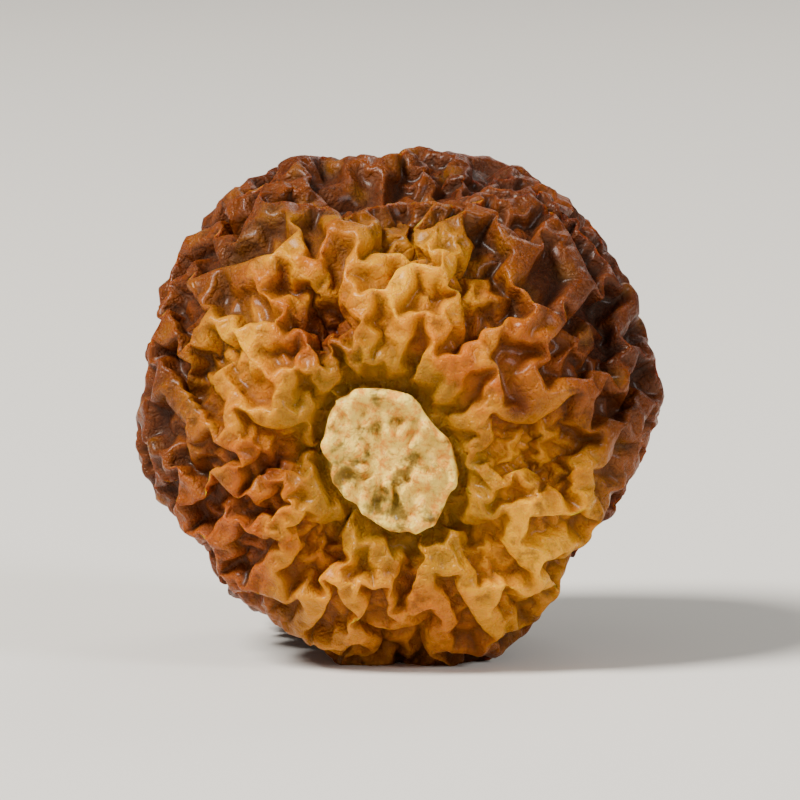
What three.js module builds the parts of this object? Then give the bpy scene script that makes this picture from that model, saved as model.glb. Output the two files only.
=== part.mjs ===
// One dried physalis berry (golden berry), lying on a surface with its stem end forwards.
//
// Millimetres, +Z up. The berry rests on a small flat spot at z = 0, with the origin under the middle of its
// bounding box. -Y is the stem end and +Y the blossom end.
//
// The berry is made in the order in which a real one dries:
//   1. body: the shrunken fruit, a near sphere pressed flat in places by its neighbours, with sunken hollows,
//      the stem scar at one end and the style's tip at the other;
//   2. folds: its skin is now too large. It gets its surplus length little by little and buckles while the
//      flesh holds it back like a bed of springs, first into broad folds and then into the ridges on them;
//   3. rest: the berry is brought to its measured size and pressed flat where it lies.

import * as THREE from "three";
import { mergeVertices } from "three/addons/utils/BufferGeometryUtils.js";

// ---- Driving dimensions -----------------------------------------------------------------------------------

const WIDTH = 12.3; // along X
const LENGTH = 12.7; // along Y, from stem end to blossom end
const HEIGHT = 11.8; // along Z
const REST_SPOT_DEPTH = 0.6; // how much of the underside is pressed flat

const STEM_DROP_DEG = 3; // the stem axis points this far below the horizontal
const STEM_TURN_DEG = 2; // and this far towards -X

const SCAR_RADIUS = 1.65; // the corky disc that the stalk left
const SCAR_LENGTHENING = 0.13; // the share by which it is longer one way and narrower across it
const SCAR_LONG_WAY_DEG = 55; // how steeply its long way rises towards -X
const SCAR_RIM_HEIGHT = 0.16;
const SCAR_LOBES = 5; // the rim stands up in this many low lobes
const SCAR_LOBE_SHARE = 0.35; // by which the rim's height rises and falls with them
const SCAR_CORE_HEIGHT = 0.12; // the nub of the stalk's core in the disc's middle
const GROOVE_WIDTH = 0.4; // the furrow round the disc
const GROOVE_DEPTH = 0.12;
const PUCKER_RADIUS = 2.4; // the skin round the scar is drawn in
const PUCKER_DEPTH = 0.75;

const STYLE_RADIUS = 0.4; // the tip at the blossom end
const STYLE_HEIGHT = 0.12;
const DIMPLE_RADIUS = 1.6; // the dimple that the tip stands in
const DIMPLE_DEPTH = 0.37;

// How the skin folds. The surplus is the share by which it is too long round the stem axis and along the lines
// from stem to blossom end. At firmOut and firmIn the flesh holds a fold back twice as hard as at first, and
// inwards it is harder than outwards from the start.
const BROAD_FOLDS = {
  spacing: 3.9,
  surplusRound: 0.12,
  surplusAlong: 0.12,
  firmOut: 0.5,
  firmIn: 0.8,
  harderInwards: 1.0,
};
const RIDGES = {
  spacing: 1.5,
  surplusRound: 0.23,
  surplusAlong: 0.14,
  firmOut: 0.45,
  firmIn: 0.3,
  harderInwards: 2.0,
};

// Where neighbours pressed the body flat: towards which side, and how far from the middle
const PRESSED_SIDES = [
  { towards: [0.05, 0.02, -1.0], distance: 5.55 },
  { towards: [0.84, -0.1, -0.52], distance: 5.2 },
  { towards: [-0.78, -0.05, -0.62], distance: 5.5 },
  { towards: [0.5, 0.1, -0.86], distance: 5.35 },
  { towards: [-0.48, -0.1, -0.87], distance: 5.35 },
  { towards: [1.0, 0.1, 0.05], distance: 6.05 },
  { towards: [-1.0, 0.1, 0.1], distance: 6.1 },
  { towards: [0.95, 0.45, 0.25], distance: 6.1 },
  { towards: [-0.7, 0.65, 0.3], distance: 6.1 },
  { towards: [0.25, 0.75, -0.6], distance: 5.9 },
  { towards: [0.0, -0.2, 1.0], distance: 5.85 },
];

// Where the drying body sank in: towards which side, how deep and how wide. The last is a dent by the scar.
const HOLLOWS = [
  { towards: [0.8, 0.6, 0.1], depth: 0.55, spread: 1.9 },
  { towards: [-0.9, 0.35, -0.3], depth: 0.6, spread: 2.1 },
  { towards: [-0.3, 0.4, 0.9], depth: 0.5, spread: 1.8 },
  { towards: [0.3, 0.95, 0.25], depth: 0.55, spread: 2.0 },
  { towards: [0.7, 0.5, -0.55], depth: 0.4, spread: 1.6 },
  { towards: [-0.45, 0.8, -0.5], depth: 0.45, spread: 1.7 },
  { towards: [-0.28, -0.84, 0.46], depth: 0.4, spread: 0.45 },
];

// ---- How it is computed -----------------------------------------------------------------------------------

const GRID_STEPS = 24; // each icosahedron edge is split this often, which makes 11,520 triangles
const GRID_CROWDING = 0.28; // how much closer the grid stands at the two ends than halfway
const FULLNESS = 1.06; // the unpressed body's size, where the berry's measured size has 1
const PRESS_SHARPNESS = 16; // how crisply a pressed side meets the round
const FOLDING_STARTS = 0.02; // the surplus at which the skin starts to fold
const FLAW_HEIGHT = 0.03; // of the small flaws from which the folds start
const FOLDS_LEAN = 0.5; // the angle (radians) by which the folds lean away from the stem-to-blossom lines
const UNEVENNESS = 0.18; // the share by which the surplus changes from place to place
const FLESH_GRIP = 1.0; // how hard the flesh holds the skin along its surface, where outwards has 1
const CORK_GRIP = 0.3; // how hard the scar's cork holds its place, where the stretched skin pulls with 1
const DRYING_STEPS = 1400;
const GROWING_SHARE = 0.7; // of the steps, in which the surplus comes; in the rest the skin settles
const STEP_SIZE = 0.2;
const GLIDE = 0.8; // the share of its speed that the skin keeps from one step to the next
const SEED = 40;

const SEMI_AXES = new THREE.Vector3(WIDTH, LENGTH, HEIGHT).divideScalar(2);
const MEAN_RADIUS = (SEMI_AXES.x + SEMI_AXES.y + SEMI_AXES.z) / 3;

const stemAxis = new THREE.Vector3(0, -1, 0)
  .applyAxisAngle(new THREE.Vector3(1, 0, 0), THREE.MathUtils.degToRad(STEM_DROP_DEG))
  .applyAxisAngle(new THREE.Vector3(0, 0, 1), THREE.MathUtils.degToRad(-STEM_TURN_DEG));
const besideStem = new THREE.Vector3().crossVectors(stemAxis, new THREE.Vector3(0, 0, 1)).normalize();
const aboveStem = new THREE.Vector3().crossVectors(besideStem, stemAxis);

for (const place of [...PRESSED_SIDES, ...HOLLOWS]) {
  place.towards = new THREE.Vector3(...place.towards).normalize();
}

const bell = (x) => Math.exp(-x * x);

// A smooth random mottle of the given wavelength, mostly from -1 to 1.
function makeMottle(wavelength, waveCount = 30) {
  const random = THREE.MathUtils.seededRandom;
  const waves = [];
  for (let i = 0; i < waveCount; i++) {
    const up = 2 * random() - 1;
    const turn = 2 * Math.PI * random();
    const across = Math.sqrt(1 - up * up);
    const wave = new THREE.Vector3(across * Math.cos(turn), across * Math.sin(turn), up);
    waves.push({ wave: wave.multiplyScalar((2 * Math.PI) / wavelength), phase: 2 * Math.PI * random() });
  }
  return (point) => {
    let sum = 0;
    for (const { wave, phase } of waves) sum += Math.cos(point.dot(wave) + phase);
    return sum * Math.sqrt(2 / waveCount);
  };
}

THREE.MathUtils.seededRandom(SEED);
const slackness = makeMottle(7); // broad areas with more or less surplus skin
const rimMottle = makeMottle(0.2); // taken on the unit sphere
const grain = makeMottle(6); // broad areas where the folds lean to one side

// ---- The grid ---------------------------------------------------------------------------------------------

// Unit directions and triangles of a geodesic sphere whose points crowd towards both ends of the stem axis.
function makeGrid() {
  const sphere = new THREE.IcosahedronGeometry(1, GRID_STEPS - 1);
  sphere.deleteAttribute("normal");
  sphere.deleteAttribute("uv");
  const merged = mergeVertices(sphere);
  const position = merged.getAttribute("position");
  const directions = [];
  for (let i = 0; i < position.count; i++) {
    const direction = new THREE.Vector3().fromBufferAttribute(position, i).normalize();
    const shift = (GRID_CROWDING * Math.sin(2 * stemAxis.angleTo(direction))) / 2;
    const hinge = new THREE.Vector3().crossVectors(stemAxis, direction).normalize();
    directions.push(direction.applyAxisAngle(hinge, -shift));
  }
  return { directions, triangles: Array.from(merged.index.array) };
}

function geometryOf(points, triangles) {
  const geometry = new THREE.BufferGeometry().setFromPoints(points);
  geometry.setIndex(triangles);
  geometry.computeVertexNormals();
  return geometry;
}

// ---- The body ---------------------------------------------------------------------------------------------

// How far the scar reaches from the stem axis, in the turn round it.
function scarRadius(turn) {
  const fromLongWay = turn - THREE.MathUtils.degToRad(SCAR_LONG_WAY_DEG);
  return SCAR_RADIUS * (1 + SCAR_LENGTHENING * Math.cos(2 * fromLongWay));
}

function turnRoundStem(direction) {
  return Math.atan2(direction.dot(aboveStem), direction.dot(besideStem));
}

// The height that the scar and the pucker round it add at the stem end.
function stemEndRelief(direction) {
  const distance = stemAxis.angleTo(direction) * MEAN_RADIUS;
  const turn = turnRoundStem(direction);
  const reach = scarRadius(turn);
  const lobe = 1 + SCAR_LOBE_SHARE * (Math.cos(SCAR_LOBES * turn) + rimMottle(direction));
  const rim = SCAR_RIM_HEIGHT * lobe * bell((distance / reach - 0.72) / 0.25);
  const core = SCAR_CORE_HEIGHT * bell(distance / reach / 0.3);
  const groove = GROOVE_DEPTH * bell((distance - reach) / (GROOVE_WIDTH / 2) - 1);
  const pucker = PUCKER_DEPTH * bell(distance / PUCKER_RADIUS);
  return rim + core - groove - pucker;
}

// The height that the style's tip and its dimple add at the blossom end.
function blossomEndRelief(direction) {
  const distance = (Math.PI - stemAxis.angleTo(direction)) * MEAN_RADIUS;
  const tip = (STYLE_HEIGHT + DIMPLE_DEPTH) * bell(distance / STYLE_RADIUS);
  return tip - DIMPLE_DEPTH * bell(distance / DIMPLE_RADIUS);
}

// How far the body reaches from its middle, in a direction.
function bodyRadius(direction) {
  let closeness = (direction.clone().divide(SEMI_AXES).length() / FULLNESS) ** PRESS_SHARPNESS;
  for (const { towards, distance } of PRESSED_SIDES) {
    closeness += Math.max(0, direction.dot(towards) / distance) ** PRESS_SHARPNESS;
  }
  let radius = closeness ** (-1 / PRESS_SHARPNESS);
  for (const { towards, depth, spread } of HOLLOWS) {
    radius -= depth * bell((towards.angleTo(direction) * MEAN_RADIUS) / spread);
  }
  return radius + stemEndRelief(direction) + blossomEndRelief(direction);
}

// ---- The folds --------------------------------------------------------------------------------------------

// Each pair of joined grid points once, and each point's neighbours.
function connect(pointCount, triangles) {
  const edges = [];
  const neighbours = Array.from({ length: pointCount }, () => []);
  for (let t = 0; t < triangles.length; t += 3) {
    for (let side = 0; side < 3; side++) {
      const from = triangles[t + side];
      const to = triangles[t + ((side + 1) % 3)];
      neighbours[from].push(to);
      if (from < to) edges.push([from, to]);
    }
  }
  return { edges, neighbours };
}

// How far a point of the body is clear of the scar: 0 on it, 1 beyond its groove.
function clearOfScar(point) {
  const edge = scarRadius(turnRoundStem(point));
  return THREE.MathUtils.smoothstep(stemAxis.angleTo(point) * MEAN_RADIUS, edge, edge + GROOVE_WIDTH);
}

// The share by which the skin between two points of the body is too long.
function surplusBetween(from, to, folds) {
  const middle = from.clone().add(to).multiplyScalar(0.5);
  const outwards = middle.clone().normalize();
  const fromStem = stemAxis.angleTo(middle);
  const along = stemAxis.clone().addScaledVector(outwards, -stemAxis.dot(outwards)).normalize();
  along.applyAxisAngle(outwards, FOLDS_LEAN * grain(middle) * Math.sin(fromStem) ** 2);
  const share = to.clone().sub(from).normalize().dot(along) ** 2;
  const surplus = folds.surplusAlong * share + folds.surplusRound * (1 - share);
  return surplus * clearOfScar(middle) * (1 + UNEVENNESS * slackness(middle));
}

// The mean of a point's neighbours, less the point's own value.
function umbrella(values, i, neighbours, into) {
  into.set(0, 0, 0);
  for (const j of neighbours[i]) into.add(values[j]);
  return into.divideScalar(neighbours[i].length).sub(values[i]);
}

// Moves the points of the body to where the folding skin carries them.
function foldSkin(body, triangles, folds) {
  const normal = geometryOf(body, triangles).getAttribute("normal");
  const normals = body.map((_, i) => new THREE.Vector3().fromBufferAttribute(normal, i));
  const { edges, neighbours } = connect(body.length, triangles);
  const rest = edges.map(([i, j]) => body[i].distanceTo(body[j]));
  const surplus = edges.map(([i, j]) => surplusBetween(body[i], body[j], folds));
  const corkGrip = body.map((point) => CORK_GRIP * (1 - clearOfScar(point)));

  // Skin of this stiffness on flesh of this firmness starts to fold at the wanted spacing and surplus.
  const gridStep = rest.reduce((sum, length) => sum + length, 0) / rest.length;
  const waveNumber = (2 * Math.PI * gridStep) / folds.spacing;
  const stiffness = (12 * FOLDING_STARTS) / waveNumber ** 2;
  const firmness = (stiffness / 16) * waveNumber ** 4;

  const flaws = makeMottle(folds.spacing);
  const offset = body.map((point, i) => normals[i].clone().multiplyScalar(FLAW_HEIGHT * flaws(point)));
  const speed = body.map(() => new THREE.Vector3());
  const push = body.map(() => new THREE.Vector3());
  const bow = body.map(() => new THREE.Vector3());
  const reach = new THREE.Vector3();

  for (let step = 1; step <= DRYING_STEPS; step++) {
    const grown = Math.min(1, step / (GROWING_SHARE * DRYING_STEPS));
    for (const p of push) p.set(0, 0, 0);

    // The skin pushes its points apart where it is squeezed.
    edges.forEach(([i, j], e) => {
      reach.copy(body[j]).add(offset[j]).sub(body[i]).sub(offset[i]);
      const length = reach.length();
      reach.multiplyScalar((length - rest[e] * (1 + grown * surplus[e])) / length);
      push[i].add(reach);
      push[j].sub(reach);
    });

    // It resists bending.
    bow.forEach((b, i) => umbrella(offset, i, neighbours, b));
    push.forEach((p, i) => p.addScaledVector(umbrella(bow, i, neighbours, reach), -stiffness));

    // The flesh holds it back, and the skin moves.
    offset.forEach((o, i) => {
      const height = o.dot(normals[i]);
      const atStart = height < 0 ? folds.harderInwards : 1;
      const firmAt = height < 0 ? folds.firmIn : folds.firmOut;
      const hold = atStart * (1 + (height / firmAt) ** 2);
      push[i].addScaledVector(normals[i], -firmness * height * (hold - FLESH_GRIP));
      push[i].addScaledVector(o, -firmness * FLESH_GRIP - corkGrip[i]);
      speed[i].multiplyScalar(GLIDE).addScaledVector(push[i], STEP_SIZE);
      o.add(speed[i]);
    });
  }
  body.forEach((point, i) => point.add(offset[i]));
}

// ---- The berry --------------------------------------------------------------------------------------------

// Brings the points to the measured size, with the underside pressed flat at z = 0.
function settle(points) {
  const box = new THREE.Box3().setFromPoints(points);
  const middle = box.getCenter(new THREE.Vector3());
  const size = box.getSize(new THREE.Vector3());
  const floor = box.min.z + REST_SPOT_DEPTH;
  const scale = new THREE.Vector3(WIDTH / size.x, LENGTH / size.y, HEIGHT / (box.max.z - floor));
  for (const point of points) {
    point.sub(new THREE.Vector3(middle.x, middle.y, floor)).multiply(scale);
    point.z = Math.max(0, point.z);
  }
}

function makeBerry() {
  const { directions, triangles } = makeGrid();
  const points = directions.map((direction) => direction.clone().multiplyScalar(bodyRadius(direction)));
  foldSkin(points, triangles, BROAD_FOLDS);
  foldSkin(points, triangles, RIDGES);
  settle(points);
  const skin = new THREE.MeshStandardMaterial({ color: 0x9a5a22, roughness: 0.5, metalness: 0 });
  const berry = new THREE.Mesh(geometryOf(points, triangles), skin);
  berry.name = "berry";
  return berry;
}

const part = new THREE.Group();
part.add(makeBerry());

export default part;
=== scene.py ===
"""One dried physalis berry (golden berry), lying on a pale floor with its stem end to the front.

The berry is one piece. Its skin is made in five steps from the plain solid in the frame:
  1. refine: the solid's surface is split twice into finer triangles;
  2. wrinkle: the fine skin gets surplus length and folds between the ridges that it already has;
  3. scar: the corky disc gets its rim, its strand ends and its pit, and a crack parts it from the skin;
  4. chart: how high each point stands, how far it is from the scar and in which patches of colour
     it lies is kept for the material;
  5. dress: seeds press up from inside and the skin gets its grain, by a Geometry Nodes tree.
Lengths in steps 1 to 4 are in millimetres, and the finished mesh is in metres.
"""

import math

import bmesh
import bpy
import numpy as np
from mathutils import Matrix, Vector


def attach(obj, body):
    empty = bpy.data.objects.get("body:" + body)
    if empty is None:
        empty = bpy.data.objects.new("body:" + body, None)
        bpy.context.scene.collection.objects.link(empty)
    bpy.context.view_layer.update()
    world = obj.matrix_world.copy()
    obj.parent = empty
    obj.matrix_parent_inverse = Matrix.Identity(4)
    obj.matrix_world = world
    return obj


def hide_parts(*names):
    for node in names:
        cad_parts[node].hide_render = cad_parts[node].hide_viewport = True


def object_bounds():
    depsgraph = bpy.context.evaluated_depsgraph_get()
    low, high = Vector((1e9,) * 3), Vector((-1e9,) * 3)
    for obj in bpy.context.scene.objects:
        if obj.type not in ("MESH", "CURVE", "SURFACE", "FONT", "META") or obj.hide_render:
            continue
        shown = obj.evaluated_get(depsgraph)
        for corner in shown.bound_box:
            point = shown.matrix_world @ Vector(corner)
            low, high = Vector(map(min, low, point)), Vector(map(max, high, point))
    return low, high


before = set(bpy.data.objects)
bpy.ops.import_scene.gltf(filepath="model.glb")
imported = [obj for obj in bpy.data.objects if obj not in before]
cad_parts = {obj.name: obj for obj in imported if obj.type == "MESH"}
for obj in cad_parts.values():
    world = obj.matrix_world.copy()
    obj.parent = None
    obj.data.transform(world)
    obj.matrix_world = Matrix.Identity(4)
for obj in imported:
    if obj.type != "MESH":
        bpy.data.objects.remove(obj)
cad_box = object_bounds()

MM = 0.001

# ---- Driving dimensions --------------------------------------------------------------------------

STEM_DROP_DEG = 3  # the stem axis points this far below the horizontal
STEM_TURN_DEG = 2  # and this far towards -X
BERRY_MIDDLE = (-0.03, -0.18, 5.43)  # mm, from where the scar's angles are measured

# The scar and the halo of golden skin round it are ovals that are long the same way.
LONG_WAY_DEG = 125  # that way, round the stem axis from the right
SCAR_RADIUS = 1.72  # mm, the corky disc that the stalk left
SCAR_LENGTHENING = 0.13  # the share by which it is longer one way and narrower across it
SCAR_UNEVENNESS = 0.03  # the share of its radius by which its edge wanders
SCAR_EDGE_WAVE = 1.5  # mm, from one bay of the edge to the next
BAY_LIMIT = 1.5  # the most that the edge wanders, as a multiple of that share
HALO_RADIUS = 4.4  # mm
HALO_LENGTHENING = 0.14

# The scar's relief. Rises and depths are in mm. Places and widths are shares of the way from the
# scar's middle to its edge.
RIM_RISE = 0.15
RIM_PLACE = 0.88
RIM_WIDTH = 0.09
STRAND_COUNT = 11  # the stalk's strands, which end in a ring of small nubs
STRAND_RISE = 0.13
STRAND_PLACE = 0.5
STRAND_WIDTH = 0.13
PIT_DEPTH = 0.09  # in the middle of the disc
PIT_WIDTH = 0.2
CRACK_DEPTH = 0.16  # between the disc and the skin
CRACK_PLACE = 1.07
CRACK_WIDTH = 0.07
CRUMB_RISE = 0.04  # the cork's own unevenness
CRUMB_SIZE = 0.4  # mm
CRUMB_MARGIN = 0.1  # they fade out over this width inside the disc's edge
RELIEF_UNEVENNESS = 0.5  # the share by which the rim and the strands differ from place to place
RELIEF_WAVE = 0.9  # mm
CORK_ENDS = 1.03  # the cork's colour ends here, in the crack
CORK_FADE = 0.05

# Patches of colour: degrees round the stem axis from the right, mm from the scar's middle, mm wide.
# The redder patches at the lower left are partly painted shade, darkening that side towards its rim.
REDDER_PATCHES = ((268, 4.7, 3.0), (34, 3.9, 3.0), (205, 4.2, 3.2), (228, 6.0, 2.8), (122, 3.4, 1.7))
LIGHTER_PATCHES = ((86, 4.3, 2.6), (146, 4.5, 1.9), (325, 3.8, 3.6), (0, 3.2, 1.8), (268, 4.7, 2.4))
# Dark spots; the one at 22 degrees is a painted shadow of a fold.
DARK_SPOTS_AND_SHADOWS = ((116, 3.7, 1.35), (22, 3.2, 0.9), (184, 2.9, 0.8), (351, 3.6, 0.6))

WRINKLE_SPACING = 0.46  # mm
WRINKLE_SURPLUS_ROUND = 0.2  # the share by which the fine skin is too long round the stem axis
WRINKLE_SURPLUS_ALONG = 0.12  # and along the lines from stem to blossom end
SURPLUS_MARGIN = 0.8  # mm beyond the scar's edge, over which the surplus sets in
SURPLUS_UNEVENNESS = 0.35  # the share by which it differs from place to place
SURPLUS_WAVE = 3.0  # mm
WRINKLE_FIRM_OUT = 0.15  # mm, where the flesh holds a wrinkle back twice as hard as at first
WRINKLE_FIRM_IN = 0.1  # mm, the same for a wrinkle that goes inwards
WRINKLE_HARDER_INWARDS = 1.5  # how much harder the flesh holds it back there from the start

SEED_RADIUS = 0.75  # mm, the seeds that show through the skin
SEED_SPACING = 1.25  # mm
SEED_RISE = 0.04  # mm
SEED_TRIES = 4e6  # places tried for a seed on each square metre, before those too close are dropped
GRAIN_SIZE = 0.3  # mm
GRAIN_RISE = 0.04  # mm

# ---- How the fine skin is computed ---------------------------------------------------------------

HOLDING_ROUNDS = 4  # how often the points are moved outwards before a split
FOLDING_STARTS = 0.02  # the surplus at which the skin starts to fold
FLAW_HEIGHT = 0.006  # mm, the small flaws from which the wrinkles start
FOLDING_STEPS = 180
GROWING_SHARE = 0.75  # of the steps, in which the surplus comes; in the rest the skin settles
STEP_SIZE = 0.2
GLIDE = 0.8  # the share of its speed that the skin keeps from one step to the next
HOLLOW_SCALE = 1.1  # mm, over which the surface is levelled to tell its bulges from its hollows
RIDGE_SCALE = 0.5  # mm, the same for ridges and furrows
CREASE_SCALE = 0.16  # mm, the same for the fine wrinkles
SEED = 12  # of all random draws


# ---- Places on the berry -------------------------------------------------------------------------

def unit(vector):
    """The vector, or each row of an array of vectors, at a length of 1."""
    return vector / np.linalg.norm(vector, axis=-1, keepdims=True)


def stem_axis():
    """The direction from the berry's middle to the stem scar."""
    drop = math.radians(STEM_DROP_DEG)
    turn = math.radians(STEM_TURN_DEG)
    level = math.cos(drop)
    return np.array([-level * math.sin(turn), -level * math.cos(turn), -math.sin(drop)])


def from_scar(points):
    """Each point's distance (mm) from the middle of the scar, along a round berry."""
    radius = (points.max(axis=0) - points.min(axis=0)).mean() / 2
    return np.arccos(np.clip(unit(points - BERRY_MIDDLE) @ stem_axis(), -1, 1)) * radius


def turn_round_stem(points):
    """Each point's angle (radians) round the stem axis: 0 at the right and a quarter turn at the top."""
    right = unit(np.cross([0, 0, 1], stem_axis()))
    above = np.cross(stem_axis(), right)
    return np.arctan2((points - BERRY_MIDDLE) @ above, (points - BERRY_MIDDLE) @ right)


def oval_reach(points, radius, lengthening):
    """How far (mm) an oval round the scar's middle reaches towards each point."""
    from_long_way = turn_round_stem(points) - math.radians(LONG_WAY_DEG)
    return radius * (1 + lengthening * np.cos(2 * from_long_way))


def across_scar(points, random):
    """How far out each point lies on the scar: 0 in its middle, 1 at its uneven edge, more beyond it."""
    bays = np.clip(mottle(points, SCAR_EDGE_WAVE, random), -BAY_LIMIT, BAY_LIMIT)
    reach = oval_reach(points, SCAR_RADIUS, SCAR_LENGTHENING) * (1 + SCAR_UNEVENNESS * bays)
    return from_scar(points) / reach


def across_halo(points):
    """How far out each point lies on the golden halo: 0 in its middle and 1 at its edge."""
    return from_scar(points) / oval_reach(points, HALO_RADIUS, HALO_LENGTHENING)


def mottle(points, wavelength, random, wave_count=24):
    """A smooth random pattern over the points, mostly from -1 to 1."""
    waves = unit(random.normal(size=(wave_count, 3))) * 2 * math.pi / wavelength
    phases = random.uniform(0, 2 * math.pi, wave_count)
    return np.cos(points @ waves.T + phases).sum(axis=1) * math.sqrt(2 / wave_count)


def bell(x):
    """1 at 0 and down to nothing past 2 on either side."""
    return np.exp(-x * x)


# ---- 1. Refine -----------------------------------------------------------------------------------

def solid_surface():
    """The points (mm) and triangles of the frame's solid, with its loose triangles joined."""
    form = bmesh.new()
    form.from_mesh(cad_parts["berry"].data)
    bmesh.ops.remove_doubles(form, verts=form.verts, dist=1e-6)
    form.verts.ensure_lookup_table()
    points = np.array([vert.co for vert in form.verts]) / MM
    triangles = np.array([[vert.index for vert in face.verts] for face in form.faces])
    form.free()
    return points, triangles


def sides_of(triangles):
    """The two ends of each triangle's three sides, in the order in which they run round it."""
    return triangles[:, [[0, 1], [1, 2], [2, 0]]].reshape(-1, 2)


def sum_by_index(indices, values):
    """For each index, the sum of the rows of values that stand beside it."""
    return np.stack([np.bincount(indices, values[:, k]) for k in range(3)], axis=1)


class Web:
    """Which points of a closed triangle mesh are joined."""

    def __init__(self, triangles):
        sides = sides_of(triangles)
        sides = sides[np.lexsort((sides[:, 1], sides[:, 0]))]
        self.start, self.end = sides.T
        self.count = np.bincount(self.start)
        self.first = np.concatenate([[0], np.cumsum(self.count)[:-1]])

    def gather(self, values_by_side):
        """For each point, the sum over the sides that start there."""
        return np.add.reduceat(values_by_side, self.first, axis=0)

    def ring_mean(self, values):
        """For each point, the mean of its neighbours."""
        return self.gather(values[self.end]) / self.count[:, None]

    def level(self, values, distance, step):
        """The values, evened out over the given distance on a mesh whose sides are one step long."""
        rounds = round(2 * (distance / step) ** 2)
        for _ in range(rounds):
            values = self.ring_mean(values)
        return values


def split_triangles(points, triangles):
    """Splits each triangle in four on a smooth surface that still passes close to the given points.

    Splitting draws the surface inwards, so the points are moved outwards beforehand.
    """
    web = Web(triangles)
    held = points
    for _ in range(HOLDING_ROUNDS):
        drawn_in = (held + web.ring_mean(held)) / 2
        held = held + points - drawn_in
    sides = np.sort(sides_of(triangles), axis=1)
    pairs, pair_of_side = np.unique(sides, axis=0, return_inverse=True)
    pair_of_side = pair_of_side.reshape(-1)
    across = held[triangles[:, [2, 0, 1]].reshape(-1)]
    facing = sum_by_index(pair_of_side, across)

    # Loop's weights. Those for a point with six neighbours are used at all of them.
    middles = 3 / 8 * held[pairs].sum(axis=1) + 1 / 8 * facing
    corners = 5 / 8 * held + 3 / 8 * web.ring_mean(held)

    a, b, c = triangles.T
    ab, bc, ca = (pair_of_side.reshape(-1, 3) + len(points)).T
    parts = [a, ab, ca, ab, b, bc, ca, bc, c, ab, bc, ca]
    return np.vstack([corners, middles]), np.stack(parts, axis=1).reshape(-1, 3)


def normals_of(points, triangles):
    """The direction in which the surface faces at each point."""
    a, b, c = points[triangles].transpose(1, 0, 2)
    face_normals = np.cross(b - a, c - a)
    corners = triangles.reshape(-1)
    weights = np.repeat(face_normals, 3, axis=0)
    return unit(sum_by_index(corners, weights))


# ---- 2. Wrinkle ----------------------------------------------------------------------------------

def surplus_of_sides(points, web, random):
    """The share by which the skin is too long, for each side of the mesh."""
    outwards = unit(points - BERRY_MIDDLE)[web.start]
    axis = stem_axis()
    along = unit(axis - outwards * (outwards @ axis)[:, None] + 1e-9)
    share = (unit(points[web.end] - points[web.start]) * along).sum(axis=1) ** 2
    surplus = WRINKLE_SURPLUS_ALONG * share + WRINKLE_SURPLUS_ROUND * (1 - share)
    beyond_scar = np.clip((from_scar(points) - SCAR_RADIUS) / SURPLUS_MARGIN, 0, 1)
    patchy = beyond_scar * (1 + SURPLUS_UNEVENNESS * mottle(points, SURPLUS_WAVE, random))
    return surplus * (patchy[web.start] + patchy[web.end]) / 2


def wrinkle(points, triangles, random):
    """Moves the points to where the skin's fine folds carry them."""
    web = Web(triangles)
    points = points.astype(np.float32)
    normals = normals_of(points, triangles).astype(np.float32)
    spans = points[web.end] - points[web.start]
    rest = np.linalg.norm(spans, axis=1)
    longer = surplus_of_sides(points, web, random).astype(np.float32)

    # Skin of this stiffness on flesh of this firmness starts to fold at the wanted spacing and surplus.
    wave_number = 2 * math.pi * rest.mean() / WRINKLE_SPACING
    stiffness = 12 * FOLDING_STARTS / wave_number**2
    firmness = stiffness / 16 * wave_number**4

    flaws = FLAW_HEIGHT * mottle(points, WRINKLE_SPACING, random)
    offset = normals * flaws.astype(np.float32)[:, None]
    speed = np.zeros_like(points)
    for step in range(FOLDING_STEPS):
        grown = min(1, (step + 1) / (GROWING_SHARE * FOLDING_STEPS))
        reach = spans + offset[web.end] - offset[web.start]
        length = np.sqrt(np.einsum("ij,ij->i", reach, reach))
        stretch = 1 - rest * (1 + grown * longer) / length
        push = web.gather(reach * stretch[:, None])
        bow = web.ring_mean(offset) - offset
        push -= stiffness * (web.ring_mean(bow) - bow)
        height = (offset * normals).sum(axis=1)
        inwards = height < 0
        at_start = np.where(inwards, np.float32(WRINKLE_HARDER_INWARDS), np.float32(1))
        firm_at = np.where(inwards, np.float32(WRINKLE_FIRM_IN), np.float32(WRINKLE_FIRM_OUT))
        hold = at_start * (1 + (height / firm_at) ** 2) - 1
        push -= firmness * (offset + normals * (height * hold)[:, None])
        speed = GLIDE * speed + STEP_SIZE * push
        offset = offset + speed
    return (points + offset).astype(float)


# ---- 3. Scar -------------------------------------------------------------------------------------

def cut_scar(points, triangles, out, random):
    """Raises the scar's rim and the ends of its strands, and opens its pit and the crack round it."""
    turn = turn_round_stem(points)
    uneven = 1 + RELIEF_UNEVENNESS * mottle(points, RELIEF_WAVE, random)
    rim = RIM_RISE * uneven * bell((out - RIM_PLACE) / RIM_WIDTH)
    strands = STRAND_RISE * (1 + np.cos(STRAND_COUNT * turn)) * uneven
    strands *= bell((out - STRAND_PLACE) / STRAND_WIDTH)
    crumbs = CRUMB_RISE * mottle(points, CRUMB_SIZE, random) * np.clip((1 - out) / CRUMB_MARGIN, 0, 1)
    pit = PIT_DEPTH * bell(out / PIT_WIDTH)
    crack = CRACK_DEPTH * bell((out - CRACK_PLACE) / CRACK_WIDTH)
    return points + normals_of(points, triangles) * (rim + strands + crumbs - pit - crack)[:, None]


# ---- 4. Chart ------------------------------------------------------------------------------------

def lies_in(patches, points):
    """How much each point lies in one of the patches, from 0 to 1."""
    away = from_scar(points)
    turn = turn_round_stem(points)
    places = np.stack([away * np.cos(turn), away * np.sin(turn)], axis=1)
    share = np.zeros(len(points))
    for patch_turn, patch_away, patch_width in patches:
        angle = math.radians(patch_turn)
        middle = patch_away * np.array([math.cos(angle), math.sin(angle)])
        share = np.maximum(share, bell(np.linalg.norm(places - middle, axis=1) / (patch_width / 2)))
    return share


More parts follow.
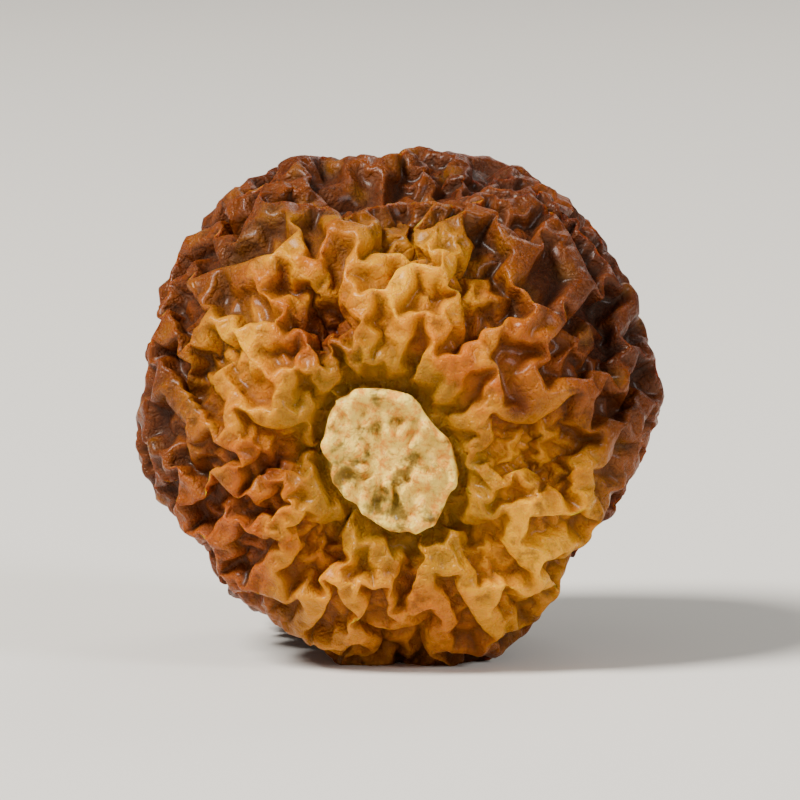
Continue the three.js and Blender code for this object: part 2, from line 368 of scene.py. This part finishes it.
def chart(points, triangles, out):
    """What the material needs to know at each point, by name."""
    web = Web(triangles)
    normals = normals_of(points, triangles)
    step = np.linalg.norm(points[web.end] - points[web.start], axis=1).mean()

    def height_over(scale):
        """How far (mm) each point stands out of the surface as it is when levelled over the scale."""
        return ((points - web.level(points, scale, step)) * normals).sum(axis=1)

    return {
        "hollow": height_over(HOLLOW_SCALE),
        "ridge": height_over(RIDGE_SCALE),
        "crease": height_over(CREASE_SCALE),
        "across_halo": across_halo(points),
        "across_scar": out,
        "scar": np.clip((CORK_ENDS - out) / CORK_FADE, 0, 1),
        "redder": lies_in(REDDER_PATCHES, points),
        "lighter": lies_in(LIGHTER_PATCHES, points),
        "dark_spot_and_shadow": lies_in(DARK_SPOTS_AND_SHADOWS, points),
    }


def mesh_of(name, points, triangles, charts):
    """A smooth mesh in metres that carries the charts as attributes of its points."""
    mesh = bpy.data.meshes.new(name)
    mesh.vertices.add(len(points))
    mesh.vertices.foreach_set("co", (points * MM).astype(np.float32).reshape(-1))
    mesh.loops.add(triangles.size)
    mesh.loops.foreach_set("vertex_index", triangles.astype(np.int32).reshape(-1))
    mesh.polygons.add(len(triangles))
    mesh.polygons.foreach_set("loop_start", np.arange(0, triangles.size, 3, dtype=np.int32))
    for chart_name, values in charts.items():
        attribute = mesh.attributes.new(chart_name, "FLOAT", "POINT")
        attribute.data.foreach_set("value", values.astype(np.float32))
    mesh.update(calc_edges=True)
    mesh.validate()
    mesh.shade_smooth()
    return mesh


# ---- 5. Dress ------------------------------------------------------------------------------------

class Tree:
    """Adds nodes to a node tree and joins their sockets."""

    def __init__(self, tree):
        self.tree = tree

    def node(self, kind, settings=None, **inputs):
        """A node with its settings made and its named inputs set or joined."""
        node = self.tree.nodes.new(kind)
        for name, value in (settings or {}).items():
            setattr(node, name, value)
        for name, value in inputs.items():
            self.feed(node.inputs[name.replace("_", " ")], value)
        return node

    def feed(self, socket, value):
        """Joins an input to another node's output, or sets it to a plain value."""
        if isinstance(value, bpy.types.NodeSocket):
            self.tree.links.new(value, socket)
        else:
            socket.default_value = value

    def sum(self, operation, *values):
        """The result of a Math node on numbers and sockets."""
        node = self.node("ShaderNodeMath", {"operation": operation})
        for socket, value in zip(node.inputs, values):
            self.feed(socket, value)
        return node.outputs[0]

    def fade(self, value, start, end, low=0.0, high=1.0):
        """Low where the value is at the start, high where it is at the end, and smooth between them."""
        node = self.node("ShaderNodeMapRange", {"interpolation_type": "SMOOTHSTEP"}, Value=value,
                         From_Min=start, From_Max=end, To_Min=low, To_Max=high)
        return node.outputs["Result"]


def skin_relief_tree():
    """A Geometry Nodes tree that raises seeds and grain, and the identifier of each of its inputs."""
    group = bpy.data.node_groups.new("seeds and grain", "GeometryNodeTree")
    sockets = {}
    for name, kind in (
        ("Skin", "NodeSocketGeometry"),
        ("Seed spacing", "NodeSocketFloat"),
        ("Seed radius", "NodeSocketFloat"),
        ("Seed rise", "NodeSocketFloat"),
        ("Grain size", "NodeSocketFloat"),
        ("Grain rise", "NodeSocketFloat"),
        ("Random seed", "NodeSocketInt"),
        ("Finish", "NodeSocketMaterial"),
    ):
        sockets[name] = group.interface.new_socket(name, in_out="INPUT", socket_type=kind)
    group.interface.new_socket("Skin", in_out="OUTPUT", socket_type="NodeSocketGeometry")
    tree = Tree(group)
    given = tree.node("NodeGroupInput").outputs

    # Seeds: points strewn over the skin, each with a low round rise over it.
    strewn = tree.node("GeometryNodeDistributePointsOnFaces", {"distribute_method": "POISSON"},
                       Mesh=given["Skin"], Distance_Min=given["Seed spacing"], Density_Max=SEED_TRIES,
                       Seed=given["Random seed"])
    nearest = tree.node("GeometryNodeProximity", {"target_element": "POINTS"},
                        Geometry=strewn.outputs["Points"])
    scar = tree.node("GeometryNodeInputNamedAttribute", {"data_type": "FLOAT"}, Name="scar")
    off_scar = tree.sum("SUBTRACT", 1.0, scar.outputs["Attribute"])
    seed = tree.fade(nearest.outputs["Distance"], given["Seed radius"], 0.0)
    seed = tree.sum("MULTIPLY", seed, off_scar)

    # Grain: a fine leathery unevenness.
    fineness = tree.sum("DIVIDE", 1.0, given["Grain size"])
    pattern = tree.node("ShaderNodeTexNoise", {"noise_dimensions": "4D"}, W=given["Random seed"],
                        Scale=fineness, Detail=3.0, Roughness=0.6)
    grain = tree.sum("SUBTRACT", pattern.outputs["Fac"], 0.5)

    rise = tree.sum("ADD", tree.sum("MULTIPLY", seed, given["Seed rise"]),
                    tree.sum("MULTIPLY", grain, given["Grain rise"]))
    push = tree.node("ShaderNodeVectorMath", {"operation": "SCALE"}, Scale=rise)
    tree.feed(push.inputs[0], tree.node("GeometryNodeInputNormal").outputs["Normal"])
    raised = tree.node("GeometryNodeSetPosition", Geometry=given["Skin"], Offset=push.outputs["Vector"])
    charted = tree.node("GeometryNodeStoreNamedAttribute", {"data_type": "FLOAT", "domain": "POINT"},
                        Geometry=raised.outputs["Geometry"], Name="seed", Value=seed)
    solid = tree.node("GeometryNodeRealizeInstances", Geometry=charted.outputs["Geometry"])
    finished = tree.node("GeometryNodeSetMaterial", Geometry=solid.outputs["Geometry"],
                         Material=given["Finish"])
    tree.node("NodeGroupOutput", Skin=finished.outputs["Geometry"])
    return group, {name: socket.identifier for name, socket in sockets.items()}


def raise_seeds_and_grain(piece, finish):
    """Runs the tree on the piece and keeps the result, above the floor, as its plain mesh."""
    group, identifiers = skin_relief_tree()
    modifier = piece.modifiers.new("seeds and grain", "NODES")
    modifier.node_group = group
    for name, value in (
        ("Seed spacing", SEED_SPACING * MM),
        ("Seed radius", SEED_RADIUS * MM),
        ("Seed rise", SEED_RISE * MM),
        ("Grain size", GRAIN_SIZE * MM),
        ("Grain rise", GRAIN_RISE * MM),
        ("Random seed", SEED),
        ("Finish", finish),
    ):
        modifier[identifiers[name]] = value
    evaluated = piece.evaluated_get(bpy.context.evaluated_depsgraph_get())
    mesh = bpy.data.meshes.new_from_object(evaluated)
    piece.modifiers.clear()
    piece.data = mesh
    places = np.empty(3 * len(mesh.vertices), np.float32)
    mesh.vertices.foreach_get("co", places)
    heights = places[2::3]
    heights[:] = np.maximum(heights, 0)
    mesh.vertices.foreach_set("co", places)


# ---- The finish ----------------------------------------------------------------------------------

# Sizes of the random patterns in the skin and the cork, in mm.
PATCH_SIZE = 3.0
TONE_SIZE = 1.6
SPECK_SIZE = 0.5
CREASE_SIZE = 0.4
LEATHER_CELL = 0.3
MEAL_SIZE = 0.16
CORK_MOTTLE_SIZE = 0.85
CORK_FLECK_SIZE = 0.25

# Colours as a colour picker shows them: red, green and blue, 0 to 255. The skin has one colour
# between its ridges and a paler one, a painted highlight on them that also colours mealy spots. A pair
# gives the two ends of a pattern.
# The rust-red outer skin is partly its own colour and partly darkened as painted shade of the rim.
RUST_SKIN = ((42, 10, 2), (78, 30, 2))
RUST_RIDGES = ((78, 28, 2), (112, 52, 4))
GOLDEN_SKIN = (158, 84, 2)
GOLDEN_RIDGES = ((230, 162, 6), (190, 102, 5))
LIGHTER_SKIN = (190, 120, 6)
LIGHTER_RIDGES = (234, 170, 10)
REDDER_SKIN = (112, 46, 6)
REDDER_RIDGES = (166, 84, 20)
# Painted shade for the furrows, hollows and fine creases; the same colours also darken the skin's
# specks.
RUST_FURROWS = (30, 8, 2)
GOLDEN_FURROWS = (98, 48, 4)
SEED_COLOUR = (214, 146, 30)
GROOVE_COLOUR = (136, 94, 6)  # olive, round the scar
# Dark spots, one of them a painted shadow of a fold
DARK_SPOT_AND_SHADOW_COLOUR = (76, 20, 4)
CORK = ((238, 158, 54), (255, 216, 98))
CORK_RING = (150, 104, 34)
CORK_MOTTLES = (102, 78, 24)
GLOSS_TINT = (255, 224, 190)

# Where a chart or a random pattern starts to count, and where it counts in full. Charts of height
# are in mm. Random patterns run from 0 to 1, mostly near 0.5.
HALO_SPAN = (1.5, 0.6)  # the share of the way to the halo's edge
RUST_SPAN = (0.36, 0.64)
GOLDEN_SPAN = (0.42, 0.6)
TONE_SPAN = (0.5, 0.38)
RIDGE_SPAN = (-0.3, 0.8)
# Painted highlight on the crests of fine wrinkles:
FINE_CREST_HIGHLIGHT_SPAN = (0.0, 0.05)
# Painted shade in furrows, fine creases and hollows:
FURROW_SHADE_SPAN = (-0.08, -0.35)
FINE_CREASE_SHADE_SPAN = (-0.01, -0.06)
HOLLOW_SHADE_SPAN = (-0.25, -0.7)
SEED_SPAN = (0.4, 1.0)  # the share of the seed's rise
MEAL_SPAN = (0.5, 0.75)
SPECK_SPAN = (0.5, 0.7)
DULL_SPECK_SPAN = (0.35, 0.65)
GROOVE_SPAN = (1.8, 1.3)  # the share of the way to the scar's edge, as in the next two
RING_INNER_SPAN = (0.35, 0.6)
RING_OUTER_SPAN = (0.92, 0.78)
CORK_SPAN = (0.36, 0.58)
CORK_MOTTLE_SPAN = (0.49, 0.62)

# How much of the colour under it each layer covers, from 0 to 1.
LIGHTER_COVER = 0.88
REDDER_COVER = 0.75
# Painted highlights on ridges and on the crests of fine wrinkles:
RIDGE_HIGHLIGHT_COVER = 0.95
FINE_CREST_HIGHLIGHT_COVER = 0.3
MEAL_COVER = 0.35
SEED_COVER = 0.1
# Painted shade in furrows and in fine creases:
FURROW_SHADE_COVER = 0.85
FINE_CREASE_SHADE_COVER = 0.35
SPECK_COVER = 0.6
TONE_COVER = 0.4
GROOVE_COVER = (0.85, 0.7)  # between ridges and on them
# Dark spots and one painted shadow of a fold:
DARK_SPOT_AND_SHADOW_COVER = 0.85
RING_COVER = 0.28
CORK_MOTTLE_COVER = 0.9

# Dullness: 0 is a mirror and 1 is chalk.
SKIN_DULLNESS = (0.56, 0.3)  # between ridges and on them
SPECK_DULLNESS = 0.16  # added on specks
CORK_DULLNESS = 0.8

# The relief that is too fine for the mesh.
FINE_RELIEF_DEPTH = 0.04  # mm
FINE_RELIEF_STRENGTH = 0.8
CREASE_RELIEF = 8.0  # against 1 for meal, as in the next two
LEATHER_RELIEF = 3.0
CORK_RELIEF = 2.0
CREASE_LIMIT = 0.08  # how far from its line a crease levels out, in the pattern's own measure
LEATHER_LIMIT = 0.15  # the same for a cell's edge

# Light passes into the skin, and red light goes furthest.
SKIN_GLOW = 0.45
CORK_GLOW = 0.05
GLOW_REACH = 0.4  # mm
GLOW_SHARES = (1.0, 0.42, 0.1)  # of that reach, for red, green and blue light


def colour(red, green, blue):
    """A shader colour from red, green and blue as a colour picker shows them, 0 to 255."""
    def linear(level):
        share = level / 255
        return share / 12.92 if share <= 0.04045 else ((share + 0.055) / 1.055) ** 2.4
    return (linear(red), linear(green), linear(blue), 1.0)


class Finish(Tree):
    """A material's node tree, whose patterns are fixed to the piece."""

    def __init__(self, tree):
        super().__init__(tree)
        self.place = self.node("ShaderNodeTexCoord").outputs["Object"]

    def charted(self, name):
        """One of the charts that the mesh carries."""
        return self.node("ShaderNodeAttribute", {"attribute_name": name}).outputs["Fac"]

    def noise(self, size, detail, roughness=0.5):
        """A random pattern with features of the given size in millimetres."""
        node = self.node("ShaderNodeTexNoise", Vector=self.place, Scale=1 / (size * MM), Detail=detail,
                         Roughness=roughness)
        return node.outputs["Fac"]

    def blend(self, share, first, second):
        """The first colour where share is 0 and the second where it is 1."""
        node = self.node("ShaderNodeMix", {"data_type": "RGBA"})
        self.feed(node.inputs["Factor"], share)
        for socket_index, paint in ((6, first), (7, second)):  # the node's two colour inputs
            self.feed(node.inputs[socket_index], colour(*paint) if isinstance(paint, tuple) else paint)
        return node.outputs[2]


def skin_colour(tree, crest, specks, meal):
    """Golden round the scar, amber to rust-red elsewhere, with painted highlights on its crests and
    painted shade in its furrows.
    """
    patches = tree.noise(PATCH_SIZE, 3.0)
    tone = tree.noise(TONE_SIZE, 3.0)
    out_of_halo = tree.sum("ADD", tree.charted("across_halo"), tree.sum("SUBTRACT", patches, 0.5))
    golden = tree.fade(out_of_halo, *HALO_SPAN)
    lighter = tree.sum("MULTIPLY", tree.charted("lighter"), LIGHTER_COVER)
    redder = tree.sum("MULTIPLY", tree.charted("redder"), REDDER_COVER)

    # The rust-red outer skin is partly painted shade of the rim.
    body = tree.blend(tree.fade(patches, *RUST_SPAN), *RUST_SKIN)
    ridges = tree.blend(tree.fade(patches, *RUST_SPAN), *RUST_RIDGES)
    golden_ridges = tree.blend(tree.fade(tone, *GOLDEN_SPAN), *GOLDEN_RIDGES)
    for share, body_colour, ridge_colour in (
        (golden, GOLDEN_SKIN, golden_ridges),
        (lighter, LIGHTER_SKIN, LIGHTER_RIDGES),
        (redder, REDDER_SKIN, REDDER_RIDGES),
    ):
        body = tree.blend(share, body, body_colour)
        ridges = tree.blend(share, ridges, ridge_colour)

    # Painted highlights make ridges and the crests of fine wrinkles paler; mealy spots and seeds are
    # paler too.
    skin = tree.blend(tree.sum("MULTIPLY", crest, RIDGE_HIGHLIGHT_COVER), body, ridges)
    fine_crest_highlight = tree.fade(tree.charted("crease"), *FINE_CREST_HIGHLIGHT_SPAN, high=FINE_CREST_HIGHLIGHT_COVER)
    skin = tree.blend(fine_crest_highlight, skin, ridges)
    skin = tree.blend(tree.fade(meal, *MEAL_SPAN, high=MEAL_COVER), skin, ridges)
    skin = tree.blend(tree.fade(tree.charted("seed"), *SEED_SPAN, high=SEED_COVER), skin, SEED_COLOUR)

    # Painted shade darkens furrows, hollows and fine creases; specks are darker too.
    furrows = tree.blend(golden, RUST_FURROWS, GOLDEN_FURROWS)
    furrow_shade = tree.sum("MAXIMUM", tree.fade(tree.charted("ridge"), *FURROW_SHADE_SPAN, high=FURROW_SHADE_COVER),
                      tree.fade(tree.charted("hollow"), *HOLLOW_SHADE_SPAN, high=FURROW_SHADE_COVER))
    fine_crease_shade = tree.fade(tree.charted("crease"), *FINE_CREASE_SHADE_SPAN, high=FINE_CREASE_SHADE_COVER)
    skin = tree.blend(furrow_shade, skin, furrows)
    skin = tree.blend(fine_crease_shade, skin, furrows)
    skin = tree.blend(tree.fade(specks, *SPECK_SPAN, high=SPECK_COVER), skin, furrows)
    skin = tree.blend(tree.fade(tone, *TONE_SPAN, high=TONE_COVER), skin, body)

    # The olive groove round the scar, and the dark spots, the one at 22 degrees a painted shadow of a
    # fold.
    groove = tree.sum("MULTIPLY", tree.fade(tree.charted("across_scar"), *GROOVE_SPAN),
                      tree.fade(crest, 0.0, 1.0, *GROOVE_COVER))
    skin = tree.blend(groove, skin, GROOVE_COLOUR)
    spot_and_shadow_share = tree.sum("MULTIPLY", tree.charted("dark_spot_and_shadow"), DARK_SPOT_AND_SHADOW_COVER)
    return tree.blend(spot_and_shadow_share, skin, DARK_SPOT_AND_SHADOW_COLOUR)


def cork_colour(tree, flecks):
    """The scar's cork: pale, with a darker ring between its middle and its rim, and olive mottles."""
    across = tree.charted("across_scar")
    mottles = tree.noise(CORK_MOTTLE_SIZE, 4.0, 0.6)
    ring = tree.sum("MULTIPLY", tree.fade(across, *RING_INNER_SPAN),
                    tree.fade(across, *RING_OUTER_SPAN, high=RING_COVER))
    cork = tree.blend(tree.fade(flecks, *CORK_SPAN), *CORK)
    cork = tree.blend(ring, cork, CORK_RING)
    return tree.blend(tree.fade(mottles, *CORK_MOTTLE_SPAN, high=CORK_MOTTLE_COVER), cork, CORK_MOTTLES)


def fine_relief(tree, scar, meal, flecks):
    """What is too fine for the mesh: meal, creases, leathery cells, and the cork's grain."""
    wander = tree.sum("ABSOLUTE", tree.sum("SUBTRACT", tree.noise(CREASE_SIZE, 4.0, 0.6), 0.5))
    creases = tree.sum("MINIMUM", wander, CREASE_LIMIT)
    to_edge = tree.node("ShaderNodeTexVoronoi", {"feature": "DISTANCE_TO_EDGE"}, Vector=tree.place,
                        Scale=1 / (LEATHER_CELL * MM)).outputs["Distance"]
    cells = tree.sum("MINIMUM", to_edge, LEATHER_LIMIT)
    cork_grain = tree.sum("MULTIPLY", flecks, scar)
    relief = meal
    for part, strength in ((creases, CREASE_RELIEF), (cells, LEATHER_RELIEF), (cork_grain, CORK_RELIEF)):
        relief = tree.sum("ADD", relief, tree.sum("MULTIPLY", part, strength))
    bump = tree.node("ShaderNodeBump", Height=relief, Strength=FINE_RELIEF_STRENGTH,
                     Distance=FINE_RELIEF_DEPTH * MM)
    return bump.outputs["Normal"]


def dried_skin():
    """The berry's one finish: dried skin, waxy where it is raised, and the scar's dull cork."""
    material = bpy.data.materials.new("dried berry skin")
    material.use_nodes = True
    tree = Finish(material.node_tree)
    scar = tree.charted("scar")
    crest = tree.fade(tree.sum("ADD", tree.charted("hollow"), tree.charted("ridge")), *RIDGE_SPAN)
    specks = tree.noise(SPECK_SIZE, 4.0, 0.65)
    meal = tree.noise(MEAL_SIZE, 3.0, 0.6)
    flecks = tree.noise(CORK_FLECK_SIZE, 4.0, 0.7)

    paint = tree.blend(scar, skin_colour(tree, crest, specks, meal), cork_colour(tree, flecks))
    skin_dullness = tree.sum("ADD", tree.fade(crest, 0.0, 1.0, *SKIN_DULLNESS),
                             tree.fade(specks, *DULL_SPECK_SPAN, high=SPECK_DULLNESS))
    dullness = tree.sum("MAXIMUM", skin_dullness, tree.sum("MULTIPLY", scar, CORK_DULLNESS))
    shader = material.node_tree.nodes["Principled BSDF"]
    for name, value in (
        ("Base Color", paint),
        ("Roughness", dullness),
        ("Normal", fine_relief(tree, scar, meal, flecks)),
        ("Subsurface Weight", tree.fade(scar, 0.0, 1.0, SKIN_GLOW, CORK_GLOW)),
        ("Subsurface Radius", GLOW_SHARES),
        ("Subsurface Scale", GLOW_REACH * MM),
        ("IOR", 1.4),
        ("Specular IOR Level", 0.35),
        ("Specular Tint", colour(*GLOSS_TINT)),
        ("Coat Weight", 0.1),
        ("Coat Roughness", 0.2),
    ):
        tree.feed(shader.inputs[name], value)
    return material


# ---- The berry -----------------------------------------------------------------------------------

def make_berry():
    """Makes the berry's one piece and puts it in the place of the frame's plain berry."""
    random = np.random.default_rng(SEED)
    points, triangles = solid_surface()
    points, triangles = split_triangles(points, triangles)
    points, triangles = split_triangles(points, triangles)
    points = wrinkle(points, triangles, random)
    out = across_scar(points, random)
    points = cut_scar(points, triangles, out, random)
    points[:, 2] = np.maximum(points[:, 2], 0)
    charts = chart(points, triangles, out)
    piece = bpy.data.objects.new("berry_skin", mesh_of("berry_skin", points, triangles, charts))
    bpy.context.scene.collection.objects.link(piece)
    raise_seeds_and_grain(piece, dried_skin())
    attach(piece, "root")
    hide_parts("berry")


# ---- The studio ----------------------------------------------------------------------------------

CAMERA_ELEVATION_DEG = 6
CAMERA_DISTANCE = 160  # mm
BERRY_SHARE = 0.64  # of the picture's width that the berry fills
FLOOR_HALF = 600  # mm, from its middle to its edge
FLOOR_COLOUR = (226, 222, 214)
FLOOR_ROUGHNESS = 0.9
ROOM_COLOUR = (238, 236, 232)
ROOM_BRIGHTNESS = 0.27
LIGHTS = (  # name, place (mm), diameter (mm), power (W), tint
    ("window", (-350, -210, 480), 220, 8.6, (1.0, 0.97, 0.93)),
    ("bounce", (400, -280, 240), 200, 1.7, (0.97, 0.98, 1.0)),
    ("back", (180, 390, 330), 240, 0.6, (1.0, 0.96, 0.9)),
)


def make_floor():
    paper = bpy.data.materials.new("pale paper")
    paper.use_nodes = True
    shader = paper.node_tree.nodes["Principled BSDF"]
    shader.inputs["Base Color"].default_value = colour(*FLOOR_COLOUR)
    shader.inputs["Roughness"].default_value = FLOOR_ROUGHNESS
    half = FLOOR_HALF * MM
    corners = [(-half, -half, 0), (half, -half, 0), (half, half, 0), (-half, half, 0)]
    mesh = bpy.data.meshes.new("floor")
    mesh.from_pydata(corners, [], [(0, 1, 2, 3)])
    mesh.materials.append(paper)
    floor = bpy.data.objects.new("floor", mesh)
    bpy.context.scene.collection.objects.link(floor)


def aim(thing, target):
    """Turns a lamp or a camera towards the target."""
    thing.rotation_euler = (target - thing.location).to_track_quat("-Z", "Y").to_euler()


def make_light(name, place, diameter, power, tint, target):
    lamp = bpy.data.lights.new(name, "AREA")
    lamp.shape = "DISK"
    lamp.size = diameter * MM
    lamp.energy = power
    lamp.color = tint
    light = bpy.data.objects.new(name, lamp)
    light.location = Vector(place) * MM
    bpy.context.scene.collection.objects.link(light)
    aim(light, target)


def make_room():
    """Soft even light from all around."""
    world = bpy.data.worlds.new("pale room")
    world.use_nodes = True
    background = world.node_tree.nodes["Background"]
    background.inputs["Color"].default_value = colour(*ROOM_COLOUR)
    background.inputs["Strength"].default_value = ROOM_BRIGHTNESS
    bpy.context.scene.world = world


def make_camera(target, width):
    """A camera that looks at the target, with the given width filling its share of the picture."""
    camera = bpy.data.objects.new("camera", bpy.data.cameras.new("camera"))
    lift = math.radians(CAMERA_ELEVATION_DEG)
    distance = CAMERA_DISTANCE * MM
    camera.location = target + Vector((0, -math.cos(lift), math.sin(lift))) * distance
    camera.data.lens = camera.data.sensor_width * distance * BERRY_SHARE / width
    camera.data.clip_start = 1 * MM
    aim(camera, target)
    bpy.context.scene.collection.objects.link(camera)
    bpy.context.scene.camera = camera


low, high = cad_box
middle = (low + high) / 2
make_camera(middle, (high - low).x)
make_floor()
for light in LIGHTS:
    make_light(*light, middle)
make_room()
make_berry()
